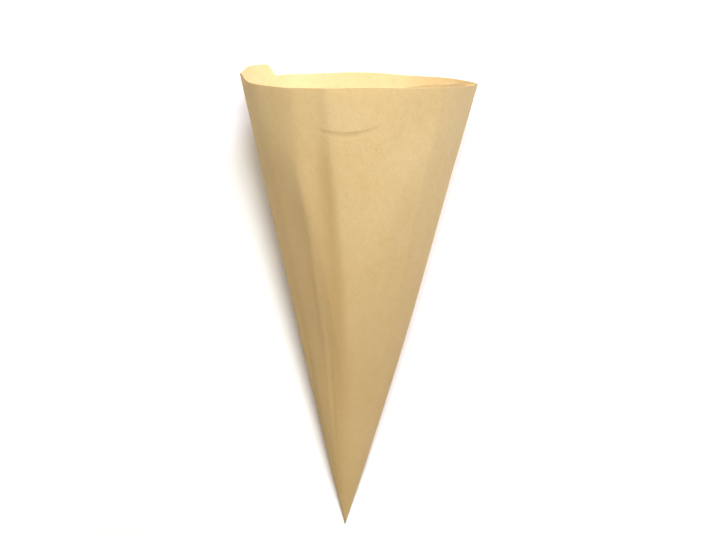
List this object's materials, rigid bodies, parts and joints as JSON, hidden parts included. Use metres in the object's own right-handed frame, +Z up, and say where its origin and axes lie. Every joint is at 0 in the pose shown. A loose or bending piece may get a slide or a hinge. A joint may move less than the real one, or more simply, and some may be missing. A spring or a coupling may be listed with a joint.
{
  "type": "paper coffee filter",
  "caption": "Unbleached paper coffee filter, a half-moon sheet folded into a long cone with a thick front wall, a single back wall and an outer lap.",
  "frame": {"origin": "under the middle of the filter's outer box, on the surface it lies on", "axes": "+Y from the pressed point to the mouth along the back wall, +Z up through the triple front wall, +X to the right fold"},
  "size_m": [0.0854, 0.1656, 0.0781],
  "materials": {
    "filter_paper": "matte"
  },
  "bodies": {
    "root": {"coffee_filter": "filter_paper"}
  },
  "joints": []
}
